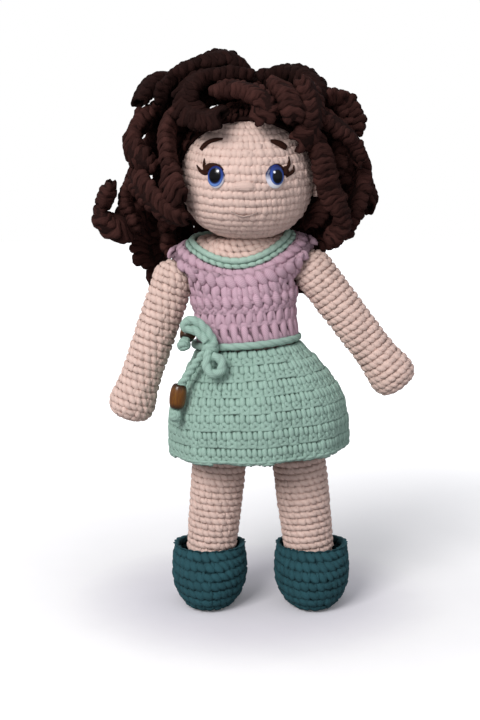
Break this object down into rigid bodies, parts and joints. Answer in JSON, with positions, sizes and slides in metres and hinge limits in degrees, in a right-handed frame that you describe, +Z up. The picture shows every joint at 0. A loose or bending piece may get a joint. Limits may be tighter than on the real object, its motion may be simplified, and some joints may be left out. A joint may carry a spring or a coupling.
{
  "type": "crocheted doll",
  "caption": "Stuffed crocheted doll with curly ribbon hair, a dress with a beaded tie cord and slippers; its head turns and its limbs swing.",
  "frame": {"origin": "centre of the overall bounding box in plan, on the plane of the slipper soles", "axes": "+Z up, the doll faces -Y, +X towards its own left hand"},
  "size_m": [0.1612, 0.087, 0.2746],
  "materials": {
    "arm_left": "crocheted matte yarn",
    "arm_right": "crocheted matte yarn",
    "bead_back": "stained and varnished",
    "bead_front": "stained and varnished",
    "body": "crocheted matte yarn",
    "bow_knot": "crocheted matte yarn",
    "bow_loop_lower": "crocheted matte yarn",
    "bow_loop_upper": "crocheted matte yarn",
    "dress_bodice": "crocheted matte yarn",
    "dress_skirt": "crocheted matte yarn",
    "ear_left": "crocheted matte yarn",
    "ear_right": "crocheted matte yarn",
    "end_knot_back": "crocheted matte yarn",
    "end_knot_front": "crocheted matte yarn",
    "eye_left": "polished, painted iris",
    "eye_right": "polished, painted iris",
    "eye_washer_left": "plain moulded",
    "eye_washer_right": "plain moulded",
    "hair_back_drop_left": "crocheted matte yarn",
    "hair_back_drop_neck": "crocheted matte yarn",
    "hair_back_drop_right": "crocheted matte yarn",
    "hair_brow_left": "crocheted matte yarn",
    "hair_brow_middle": "crocheted matte yarn",
    "hair_brow_right": "crocheted matte yarn",
    "hair_bulge_left": "crocheted matte yarn",
    "hair_cap": "crocheted matte yarn",
    "hair_cheek_left": "crocheted matte yarn",
    "hair_cheek_right": "crocheted matte yarn",
    "hair_crown_arc": "crocheted matte yarn",
    "hair_crown_tip": "crocheted matte yarn",
    "hair_fringe": "crocheted matte yarn",
    "hair_loop_right": "crocheted matte yarn",
    "hair_nape_right": "crocheted matte yarn",
    "hair_rear_curl_1": "crocheted matte yarn",
    "hair_rear_curl_2": "crocheted matte yarn",
    "hair_rear_curl_3": "crocheted matte yarn",
    "hair_rear_curl_4": "crocheted matte yarn",
    "hair_rear_curl_5": "crocheted matte yarn",
    "hair_rear_curl_6": "crocheted matte yarn",
    "hair_rear_curl_7": "crocheted matte yarn",
    "hair_rear_curl_8": "crocheted matte yarn",
    "hair_rear_left": "crocheted matte yarn",
    "hair_rear_right": "crocheted matte yarn",
    "hair_side_curl": "crocheted matte yarn",
    "hair_side_right": "crocheted matte yarn",
    "hair_temple_left": "crocheted matte yarn",
    "hair_temple_right": "crocheted matte yarn",
    "hair_tip_right": "crocheted matte yarn",
    "hair_top_loop": "crocheted matte yarn",
    "head": "crocheted matte yarn",
    "leg_left": "crocheted matte yarn",
    "leg_right": "crocheted matte yarn",
    "neckline_trim": "crocheted matte yarn",
    "nose": "crocheted matte yarn",
    "shoe_left": "crocheted matte yarn",
    "shoe_right": "crocheted matte yarn",
    "tie_end_back": "crocheted matte yarn",
    "tie_end_front": "crocheted matte yarn",
    "waist_tie": "crocheted matte yarn"
  },
  "bodies": {
    "torso": {"body": "body", "bow_knot": "bow_knot", "bow_loop_lower": "bow_loop_lower", "bow_loop_upper": "bow_loop_upper", "dress_bodice": "dress_bodice", "dress_skirt": "dress_skirt", "end_knot_back": "end_knot_back", "end_knot_front": "end_knot_front", "neckline_trim": "neckline_trim", "tie_end_back": "tie_end_back", "tie_end_front": "tie_end_front", "waist_tie": "waist_tie"},
    "head": {"ear_left": "ear_left", "ear_right": "ear_right", "eye_left": "eye_left", "eye_right": "eye_right", "eye_washer_left": "eye_washer_left", "eye_washer_right": "eye_washer_right", "hair_back_drop_left": "hair_back_drop_left", "hair_back_drop_neck": "hair_back_drop_neck", "hair_back_drop_right": "hair_back_drop_right", "hair_brow_left": "hair_brow_left", "hair_brow_middle": "hair_brow_middle", "hair_brow_right": "hair_brow_right", "hair_bulge_left": "hair_bulge_left", "hair_cap": "hair_cap", "hair_cheek_left": "hair_cheek_left", "hair_cheek_right": "hair_cheek_right", "hair_crown_arc": "hair_crown_arc", "hair_crown_tip": "hair_crown_tip", "hair_fringe": "hair_fringe", "hair_loop_right": "hair_loop_right", "hair_nape_right": "hair_nape_right", "hair_rear_curl_1": "hair_rear_curl_1", "hair_rear_curl_2": "hair_rear_curl_2", "hair_rear_curl_3": "hair_rear_curl_3", "hair_rear_curl_4": "hair_rear_curl_4", "hair_rear_curl_5": "hair_rear_curl_5", "hair_rear_curl_6": "hair_rear_curl_6", "hair_rear_curl_7": "hair_rear_curl_7", "hair_rear_curl_8": "hair_rear_curl_8", "hair_rear_left": "hair_rear_left", "hair_rear_right": "hair_rear_right", "hair_side_curl": "hair_side_curl", "hair_side_right": "hair_side_right", "hair_temple_left": "hair_temple_left", "hair_temple_right": "hair_temple_right", "hair_tip_right": "hair_tip_right", "hair_top_loop": "hair_top_loop", "head": "head", "nose": "nose"},
    "arm_right": {"arm_right": "arm_right"},
    "arm_left": {"arm_left": "arm_left"},
    "leg_right": {"leg_right": "leg_right", "shoe_right": "shoe_right"},
    "leg_left": {"leg_left": "leg_left", "shoe_left": "shoe_left"},
    "bead_front": {"bead_front": "bead_front"},
    "bead_back": {"bead_back": "bead_back"}
  },
  "joints": [
    {"name": "head_turn", "type": "hinge", "parent": "torso", "child": "head", "pos_m": [-0.0028, -0.00275, 0.18975], "axis": [0, 0, 1], "range_deg": [-8, 8]},
    {"name": "shoulder_right_swing", "type": "hinge", "parent": "torso", "child": "arm_right", "pos_m": [-0.03951, 0, 0.163], "axis": [-1, 0, 0], "range_deg": [-20, 55]},
    {"name": "hip_right_swing", "type": "hinge", "parent": "torso", "child": "leg_right", "pos_m": [-0.0159, 0, 0.08], "axis": [-1, 0, 0], "range_deg": [-25, 40]},
    {"name": "shoulder_left_swing", "type": "hinge", "parent": "torso", "child": "arm_left", "pos_m": [0.03029, 0, 0.1677], "axis": [-1, 0, 0], "range_deg": [-20, 55]},
    {"name": "hip_left_swing", "type": "hinge", "parent": "torso", "child": "leg_left", "pos_m": [0.0226, 0, 0.08], "axis": [-1, 0, 0], "range_deg": [-25, 40]},
    {"name": "bead_front_slide", "type": "slide", "parent": "torso", "child": "bead_front", "axis": [0.3901, 0.1115, 0.914], "range_m": [0, 0.005]},
    {"name": "bead_back_slide", "type": "slide", "parent": "torso", "child": "bead_back", "axis": [0.2263, -0.1731, 0.9586], "range_m": [0, 0.002]}
  ]
}
